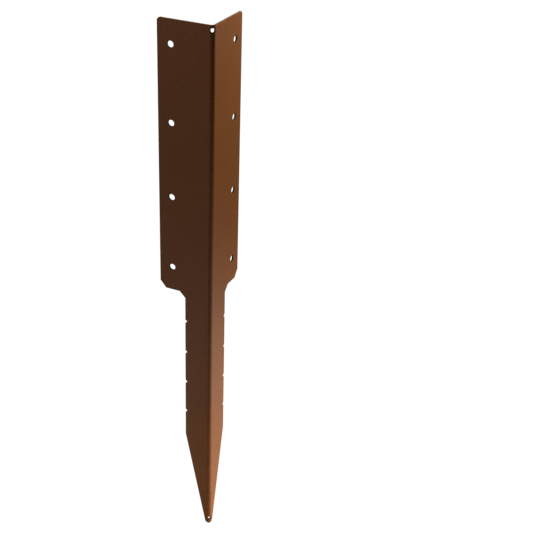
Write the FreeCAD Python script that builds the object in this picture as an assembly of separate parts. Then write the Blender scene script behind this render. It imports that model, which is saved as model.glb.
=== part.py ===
import FreeCAD, Part
import math
import os

from FreeCAD import Vector

# Post anchor spike: one steel blank, cut flat and folded once along its length.
#
# The upper half is a right angle whose two flanges are screwed to the corner of a timber post or
# of stacked edging boards. The lower half is a narrower angle that is driven into the ground.
#
# Frame: millimetres, +Z up. The origin is where the corner edge of the timber meets the ground: on
# the inside corner of the angle, level with the shoulders. The front flange faces -Y and runs
# towards -X. The side flange faces +X and runs towards +Y.

os.makedirs("parts", exist_ok=True)

# Heights above the ground line
top = 370.0
bottom = -380.0

# Sheet: 2 mm steel, with zinc and powder coat on both sides
sheet = 2.25
edge_round = 0.4  # what the coat leaves of each cut edge
fold_inside_radius = 3.5
neutral_fraction = 0.42  # how deep in the sheet the layer lies that folding doesn't stretch

# Flat blank, the same on both sides of the fold line
flange_blank_width = 150.0
spike_blank_width = 75.0
top_corner_radius = 5.0
shoulder_outer_run, shoulder_outer_rise = 8.7, 10.0
shoulder_inner_run, shoulder_inner_drop = 8.3, 8.5

# Fixing holes: one row in each flange
hole_diameter = 8.5
hole_edge_distance = 18.5
hole_first_depth = 31.5  # below the top edge
hole_pitch = 101.5
hole_count = 4

# Notches in both free edges of the spike, which bite in packed soil
notch_first_drop = 44.5  # below the ground line
notch_pitch = 48.5
notch_count = 4
notch_depth = 3.0
notch_mouth = 5.6

# Point of the spike
taper_length = 150.0
blank_tip_width = 9.6  # between the two tapers where they would run out, level with the tip

# Holes on the fold line, one at each end, to hang the part by while it is coated
top_fold_hole_diameter, top_fold_hole_depth = 5.5, 6.5
tip_fold_hole_diameter, tip_fold_hole_height = 4.0, 9.3

clear = 10.0  # how far a cutting body runs past what it cuts
curve_steps = 24  # points round a hole that follows the sheet round the bend

# Folding. The layer that isn't stretched keeps its length, so a point of the blank ends up at this
# distance from the inside corner.
bend_layer_radius = fold_inside_radius + neutral_fraction * sheet
bend_allowance = math.pi / 2 * bend_layer_radius


def reach(across):
    """Distance along a flange from the inside corner, for a point this far from the fold line."""
    return fold_inside_radius + across - bend_allowance / 2


flange_reach = reach(flange_blank_width / 2)
spike_reach = reach(spike_blank_width / 2)
hole_reach = reach(flange_blank_width / 2 - hole_edge_distance)
hole_heights = [top - hole_first_depth - i * hole_pitch for i in range(hole_count)]
notch_heights = [-notch_first_drop - i * notch_pitch for i in range(notch_count)]

# The tip is round as seen along the line that halves the angle: an arc tangent to the outer skin
# of both tapers, which from there are this far from the fold line, and narrow this fast
tip_half_width = (reach(blank_tip_width / 2) + sheet) / math.sqrt(2)
tip_slope = (spike_blank_width - blank_tip_width) / 2 / taper_length / math.sqrt(2)
tip_radius = tip_half_width / (math.hypot(1, tip_slope) - tip_slope)

# Directions square to the fold line: out of the angle's edge, and across it
outwards = Vector(1, -1, 0).normalize()
across_fold = Vector(1, 1, 0).normalize()


def on_front(distance, height):
    """A point of the front flange's inner face, by its distance from the inside corner."""
    return Vector(-distance, 0, height)


def on_side(distance, height):
    """The same point of the side flange, which mirrors the front one."""
    return Vector(0, distance, height)


def arc(start, middle, end):
    return Part.Arc(start, middle, end).toShape()


def flange(place, facing):
    """One flat side of the angle, from the bend to its free edge, with its row of holes."""
    rounding = top_corner_radius * (1 - math.sqrt(0.5))
    corner = [
        place(flange_reach - top_corner_radius, top),
        place(flange_reach - rounding, top - rounding),
        place(flange_reach, top - top_corner_radius),
    ]
    edge = [
        corner[2],
        place(flange_reach, shoulder_outer_rise),
        place(flange_reach - shoulder_outer_run, 0),
        place(spike_reach + shoulder_inner_run, 0),
        place(spike_reach, -shoulder_inner_drop),
    ]
    for height in notch_heights:
        edge.append(place(spike_reach, height + notch_mouth / 2))
        edge.append(place(spike_reach - notch_depth, height))
        edge.append(place(spike_reach, height - notch_mouth / 2))
    edge += [
        place(spike_reach, bottom + taper_length),
        place(reach(blank_tip_width / 2), bottom),
        place(fold_inside_radius, bottom),
        place(fold_inside_radius, top),
        corner[0],
    ]
    boundary = [arc(*corner), *Part.makePolygon(edge).Edges]
    plate = Part.Face(Part.Wire(boundary)).extrude(facing * sheet)
    start = -facing * clear
    holes = [
        Part.makeCylinder(hole_diameter / 2, 2 * clear, place(hole_reach, height) + start, facing)
        for height in hole_heights
    ]
    return plate.cut(holes)


def fold_hole(height, diameter):
    """A round hole of the blank on the fold line, which spreads with the sheet as it is folded.

    Its walls stay square to the sheet, so every level of it is a wedge that narrows towards the
    axis of the bend. Two upright sections of that wedge, joined by straight lines, make the body.
    """
    axis = Vector(-fold_inside_radius, fold_inside_radius, height)
    radius = diameter / 2
    sections = []
    for distance in (fold_inside_radius / 2, fold_inside_radius + sheet + edge_round):
        points = []
        for i in range(curve_steps):
            turn = 2 * math.pi * i / curve_steps
            shift = distance * math.tan(radius * math.cos(turn) / bend_layer_radius)
            level = Vector(0, 0, radius * math.sin(turn))
            points.append(axis + outwards * distance + across_fold * shift + level)
        spline = Part.BSplineCurve()
        spline.interpolate(Points=points, PeriodicFlag=True,
                           Parameters=[i / curve_steps for i in range(curve_steps + 1)])
        sections.append(Part.Wire(spline.toShape()))
    return Part.makeLoft(sections, True, True)


def below_tip():
    """What the rounded tip leaves out, cut square to the outer edge of the fold."""
    lean = math.atan(tip_slope)
    behind = -outwards * (tip_radius + clear)

    def at(turn, out=tip_radius):
        level = bottom + tip_radius - out * math.sin(turn)
        return behind + across_fold * out * math.cos(turn) + Vector(0, 0, level)

    drop = Vector(0, 0, -2 * clear)
    far = tip_radius + clear
    round_end = arc(at(lean), at(math.pi / 2), at(math.pi - lean))
    others = [at(math.pi - lean), at(math.pi - lean, far), at(math.pi - lean, far) + drop,
              at(lean, far) + drop, at(lean, far), at(lean)]
    face = Part.Face(Part.Wire([round_end, *Part.makePolygon(others).Edges]))
    return face.extrude(-behind * 2)


def bend():
    """The quarter turn between the flanges, over the full height."""
    axis = Vector(-fold_inside_radius, fold_inside_radius, bottom)
    outside_radius = fold_inside_radius + sheet
    front_start, side_start = Vector(0, -1, 0), Vector(1, 0, 0)
    inner = [axis + way * fold_inside_radius for way in (front_start, outwards, side_start)]
    outer = [axis + way * outside_radius for way in (side_start, outwards, front_start)]
    edges = [arc(*inner), Part.makeLine(inner[2], outer[0]), arc(*outer)]
    edges.append(Part.makeLine(outer[2], inner[0]))
    strip = Part.Face(Part.Wire(edges)).extrude(Vector(0, 0, top - bottom))
    holes = [
        fold_hole(top - top_fold_hole_depth, top_fold_hole_diameter),
        fold_hole(bottom + tip_fold_hole_height, tip_fold_hole_diameter),
    ]
    return strip.cut(holes)


def is_sharp(solid, edge):
    """True where two faces of the solid meet at an angle, and not where one runs on smoothly."""
    middle = edge.valueAt((edge.FirstParameter + edge.LastParameter) / 2)
    normals = [
        face.normalAt(*face.Surface.parameter(middle))
        for face in solid.ancestorsOfType(edge, Part.Face)
    ]
    return len(normals) == 2 and normals[0].getAngle(normals[1]) > math.radians(15)


def anchor_plate():
    front = flange(on_front, Vector(0, -1, 0))
    side = flange(on_side, Vector(1, 0, 0))
    solid = front.fuse([bend(), side]).cut(below_tip()).Solids[0]
    skin = [
        edge for edge in solid.Edges
        if is_sharp(solid, edge) and abs(edge.Length - sheet) > edge_round / 2
    ]
    return solid.makeFillet(edge_round, skin)


plate = anchor_plate()
print("valid:", plate.isValid(), "solids:", len(plate.Solids), "faces:", len(plate.Faces))
print("volume mm3:", round(plate.Volume), "mass kg:", round(plate.Volume * 7.85e-6, 3))
print("box:", plate.BoundBox)
print("flange outside width:", round(flange_reach + sheet, 2))
plate.exportStep("parts/anchor_plate.step")
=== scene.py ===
import math

import bpy
from mathutils import Matrix, Vector


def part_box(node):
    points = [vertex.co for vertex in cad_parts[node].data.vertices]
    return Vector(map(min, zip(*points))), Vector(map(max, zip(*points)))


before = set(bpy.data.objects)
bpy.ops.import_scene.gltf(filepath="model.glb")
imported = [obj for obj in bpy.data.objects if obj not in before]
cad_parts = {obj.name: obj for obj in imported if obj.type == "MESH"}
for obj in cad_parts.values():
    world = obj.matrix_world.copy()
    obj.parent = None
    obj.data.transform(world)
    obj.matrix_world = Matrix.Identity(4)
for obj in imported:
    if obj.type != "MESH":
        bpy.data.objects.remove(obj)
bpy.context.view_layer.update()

# The angle's own frame: its inside corner is the Z axis, one flange runs to -X and one to +Y,
# the spike hangs below Z = 0. Lengths are metres, angles degrees, lights watts.
MM = 0.001
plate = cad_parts["anchor_plate"]
lowest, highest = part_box("anchor_plate")
tip, top = lowest.z, highest.z

# Outline and holes, for the painted highlight along the cut edges and the painted shade in the
# holes
flange_reach = -lowest.x
shoulder_foot = -10 * MM
spike_reach = 37.5 * MM
tip_reach = 4 * MM
taper_start = tip + 150 * MM
hole_reach = flange_reach - 18.5 * MM
hole_radius, hole_pitch, first_hole = 4.25 * MM, 101.5 * MM, top - 31.5 * MM
fold_holes = [(top - 6.5 * MM, 3.3 * MM), (tip + 9.3 * MM, 2.5 * MM)]  # height, radius

# The coat: a brown powder, satin, with a fine orange peel, and the painted highlight and painted
# shade drawn on it
deep_brown = (0.176, 0.0565, 0.0130, 1)
light_brown = (0.264, 0.0910, 0.0228, 1)
# Painted highlight: the cut edges and lips drawn lighter and golden, as where they catch the
# light
painted_edge_highlight_brown = (0.24, 0.09, 0.016, 1)
# Painted shade: the hole walls and their lips drawn near black, as where they lie in shadow
painted_hole_shade_brown = (0.022, 0.007, 0.003, 1)
noise_range = (0.3, 0.7)  # nearly all of a noise lies between these
grain_size, grain_share = 2.2 * MM, 0.8
cloud_size, cloud_share = 70 * MM, 0.2
peel_size, peel_depth, peel_strength = 2.0 * MM, 0.05 * MM, 0.5
rim_width, painted_edge_highlight_strength = 1.6 * MM, 0.85
hole_lip = 0.9 * MM
coat_ior = 1.2
coat_roughness = (0.49, 0.61)

# The camera: above the fold and a little to its right
camera_place = Vector((623.0, -1213.5, 771.4)) * MM
camera_turn, camera_tilt, camera_roll = 24.134, 27.894, 1.859
camera_lens, camera_sensor = 79.73, 36

# The studio. The plate stands in front of plain white and leaves no shadow or reflection on it.
floor_span = 80
floor_white, floor_roughness = (0.88, 0.88, 0.88, 1), 0.9
ambient, backdrop = 0.036, 1.0
sun_azimuth, sun_elevation, sun_spread, sun_strength = 120, 72, 50, 3.75
panels = {
    # name: azimuth, distance, height, width, depth, watts
    "left_low": (209, 0.51, -0.49, 0.57, 0.25, 2.1),
    "left_high": (219, 0.90, 0.90, 0.75, 0.44, 5.2),
    "front_low": (19, 0.38, -0.47, 0.50, 0.45, 3.5),
    "right_low": (38, 0.37, -0.27, 0.20, 0.24, 0.65),
    "right_high": (66, 0.51, 0.57, 0.21, 0.20, 5.5),
    "behind": (135, 1.50, 0.60, 1.00, 1.00, 6.5),
}
tints = {"left_high": (0.94, 1.08, 1.9)}  # the other lights are white


def round_the_post(azimuth, distance, height):
    """A place at that azimuth about the corner's axis, +X being 0 and +Y being 90."""
    angle = math.radians(azimuth)
    return Vector((math.cos(angle) * distance, math.sin(angle) * distance, height))


def put(name, data, place, target):
    """A light or other object at place, facing target."""
    made = bpy.data.objects.new(name, data)
    bpy.context.scene.collection.objects.link(made)
    made.location = place
    made.rotation_mode = "QUATERNION"
    made.rotation_quaternion = (target - place).to_track_quat("-Z", "Y")
    return made


def make_camera():
    turn, tilt, roll = (math.radians(a) for a in (camera_turn, camera_tilt, camera_roll))
    level = Vector((math.cos(turn), math.sin(turn), 0))
    ahead = Vector((-level.y * math.cos(tilt), level.x * math.cos(tilt), -math.sin(tilt)))
    above = level.cross(ahead)
    right = level * math.cos(roll) + above * math.sin(roll)
    up = above * math.cos(roll) - level * math.sin(roll)
    data = bpy.data.cameras.new("camera")
    data.sensor_width = camera_sensor
    data.lens = camera_lens
    data.clip_end = 2 * floor_span
    made = bpy.data.objects.new("camera", data)
    bpy.context.scene.collection.objects.link(made)
    turned = Matrix((right, up, -ahead)).transposed().to_4x4()
    made.matrix_world = Matrix.Translation(camera_place) @ turned
    bpy.context.scene.camera = made


class Nodes:
    """Short calls for building a node tree: inputs are sockets to link or plain values."""

    def __init__(self, owner):
        owner.use_nodes = True
        self.tree = owner.node_tree

    def add(self, kind, inputs=(), **settings):
        made = self.tree.nodes.new("ShaderNode" + kind)
        for name, value in settings.items():
            setattr(made, name, value)
        for name, value in dict(inputs).items():
            self.feed(made.inputs[name], value)
        return made

    def feed(self, socket, value):
        if isinstance(value, bpy.types.NodeSocket):
            self.tree.links.new(value, socket)
        else:
            socket.default_value = value

    def math(self, operation, a, b):
        return self.add("Math", {0: a, 1: b}, operation=operation).outputs[0]

    def spread(self, value, low, high, to_low, to_high, kind="LINEAR"):
        """The value, mapped from low..high to to_low..to_high and held at the ends."""
        ends = {"From Min": low, "From Max": high, "To Min": to_low, "To Max": to_high}
        made = self.add("MapRange", {"Value": value, **ends}, interpolation_type=kind)
        return made.outputs["Result"]

    def noise(self, where, size, detail):
        made = self.add("TexNoise", {"Vector": where, "Scale": 1 / size, "Detail": detail})
        return made.outputs["Fac"]

    def mix(self, factor, a, b):
        """Colour a where the factor is 0, colour b where it is 1."""
        made = self.add("Mix", data_type="RGBA")
        for socket, value in zip((0, 6, 7), (factor, a, b)):
            self.feed(made.inputs[socket], value)
        return made.outputs[2]

    def mix_value(self, factor, a, b):
        """Value a where the factor is 0, value b where it is 1."""
        made = self.add("Mix", data_type="FLOAT")
        for socket, value in zip((0, 2, 3), (factor, a, b)):
            self.feed(made.inputs[socket], value)
        return made.outputs[0]

    def ring(self, sideways, upwards, radius):
        """1 within the radius of a hole's axis, falling to 0 across its lip."""
        away = self.add("CombineXYZ", {"X": sideways, "Y": upwards})
        length = self.add("VectorMath", {0: away.outputs[0]}, operation="LENGTH")
        return self.spread(length.outputs["Value"], radius, radius + hole_lip, 1, 0, "SMOOTHSTEP")


def painted_edge_highlight_share(nodes, across, z):
    """Where the painted edge highlight goes: 1 on the sheet's cut edges, falling to 0 within
    rim_width of them.
    """
    body = nodes.spread(z, shoulder_foot, 0, spike_reach, flange_reach)
    taper = nodes.spread(z, tip, taper_start, tip_reach, spike_reach)
    reach = nodes.mix_value(nodes.math("GREATER_THAN", z, taper_start), taper, body)
    side = nodes.math("SUBTRACT", reach, across)
    ends = nodes.math("MINIMUM", nodes.math("SUBTRACT", top, z), nodes.math("SUBTRACT", z, tip))
    nearest = nodes.math("MINIMUM", side, ends)
    return nodes.spread(nearest, 0, rim_width, 1, 0, "SMOOTHSTEP")


def painted_hole_shade_share(nodes, x, y, across, z):
    """Where the painted shade goes: 1 in the walls of the holes, falling to 0 within hole_lip
    round them.
    """
    from_row = nodes.math("SUBTRACT", across, hole_reach)
    from_hole = nodes.math("PINGPONG", nodes.math("SUBTRACT", z, first_hole), hole_pitch / 2)
    share = nodes.ring(from_row, from_hole, hole_radius)
    from_fold = nodes.math("MULTIPLY", nodes.math("ADD", x, y), math.sqrt(0.5))
    for height, radius in fold_holes:
        ring = nodes.ring(from_fold, nodes.math("SUBTRACT", z, height), radius)
        share = nodes.math("MAXIMUM", share, ring)
    return share


def powder_coat():
    made = bpy.data.materials.new("brown_powder_coat")
    nodes = Nodes(made)
    where = nodes.add("TexCoord").outputs["Object"]
    split = nodes.add("SeparateXYZ", {"Vector": where})
    x, y, z = (split.outputs[axis] for axis in "XYZ")
    across = nodes.math("MAXIMUM", nodes.math("MULTIPLY", x, -1.0), y)
    grain = nodes.spread(nodes.noise(where, grain_size, 2), *noise_range, 0, grain_share)
    cloud = nodes.spread(nodes.noise(where, cloud_size, 3), *noise_range, 0, cloud_share)
    colour = nodes.mix(nodes.math("ADD", grain, cloud), deep_brown, light_brown)
    # Painted highlight along the cut edges, lighter and golden as where they catch the light
    rim = nodes.math("MULTIPLY", painted_edge_highlight_share(nodes, across, z), painted_edge_highlight_strength)
    colour = nodes.mix(rim, colour, painted_edge_highlight_brown)
    # Painted shade in the hole walls and on their lips
    colour = nodes.mix(painted_hole_shade_share(nodes, x, y, across, z), colour, painted_hole_shade_brown)
    peel = nodes.noise(where, peel_size, 3)
    bump = nodes.add("Bump", {"Strength": peel_strength, "Distance": peel_depth, "Height": peel})
    shader = nodes.tree.nodes["Principled BSDF"]
    nodes.feed(shader.inputs["Base Color"], colour)
    nodes.feed(shader.inputs["Roughness"], nodes.spread(peel, *noise_range, *coat_roughness))
    nodes.feed(shader.inputs["IOR"], coat_ior)
    nodes.feed(shader.inputs["Normal"], bump.outputs["Normal"])
    return made


def make_floor():
    """The pale floor under the tip, kept from shading the plate or mirroring in it."""
    bpy.ops.mesh.primitive_plane_add(size=floor_span, location=(0, 0, tip))
    made = bpy.context.object
    made.name = "floor"
    made.visible_diffuse = False
    made.visible_glossy = False
    made.visible_shadow = False
    paint = bpy.data.materials.new("pale_floor")
    nodes = Nodes(paint)
    shader = nodes.tree.nodes["Principled BSDF"]
    nodes.feed(shader.inputs["Base Color"], floor_white)
    nodes.feed(shader.inputs["Roughness"], floor_roughness)
    nodes.feed(shader.inputs["IOR"], 1.0)
    made.data.materials.append(paint)
    return made


def make_world():
    """A faint fill light all round, which the camera sees as a white backdrop."""
    world = bpy.data.worlds.new("studio")
    bpy.context.scene.world = world
    nodes = Nodes(world)
    seen = nodes.add("LightPath").outputs["Is Camera Ray"]
    background = nodes.tree.nodes["Background"]
    nodes.feed(background.inputs["Color"], (1, 1, 1, 1))
    nodes.feed(background.inputs["Strength"], nodes.spread(seen, 0, 1, ambient, backdrop))


def light_only(light, receiver):
    """Keep a light off everything but the receiver."""
    lit = bpy.data.collections.new("lit_by_" + light.name)
    lit.objects.link(receiver)
    light.light_linking.receiver_collection = lit


def make_lights(floor):
    """Panels that light only the plate, and a sun that lights only the floor."""
    for name, (azimuth, distance, height, width, depth, watts) in panels.items():
        data = bpy.data.lights.new(name, "AREA")
        data.shape = "RECTANGLE"
        data.size, data.size_y = width, depth
        data.energy = watts
        data.color = tints.get(name, (1, 1, 1))
        place = round_the_post(azimuth, distance, height)
        panel = put(name, data, place, Vector((0, 0, height)))
        panel.visible_camera = False
        light_only(panel, plate)
    data = bpy.data.lights.new("overhead", "SUN")
    data.angle = math.radians(sun_spread)
    data.energy = sun_strength
    data.use_shadow = False
    level, rise = (f(math.radians(sun_elevation)) for f in (math.cos, math.sin))
    sun = put("overhead", data, round_the_post(sun_azimuth, level, rise), Vector((0, 0, 0)))
    light_only(sun, floor)


make_camera()
floor = make_floor()
make_world()
make_lights(floor)
plate.data.materials.clear()
plate.data.materials.append(powder_coat())
bpy.context.scene.view_settings.view_transform = "Standard"
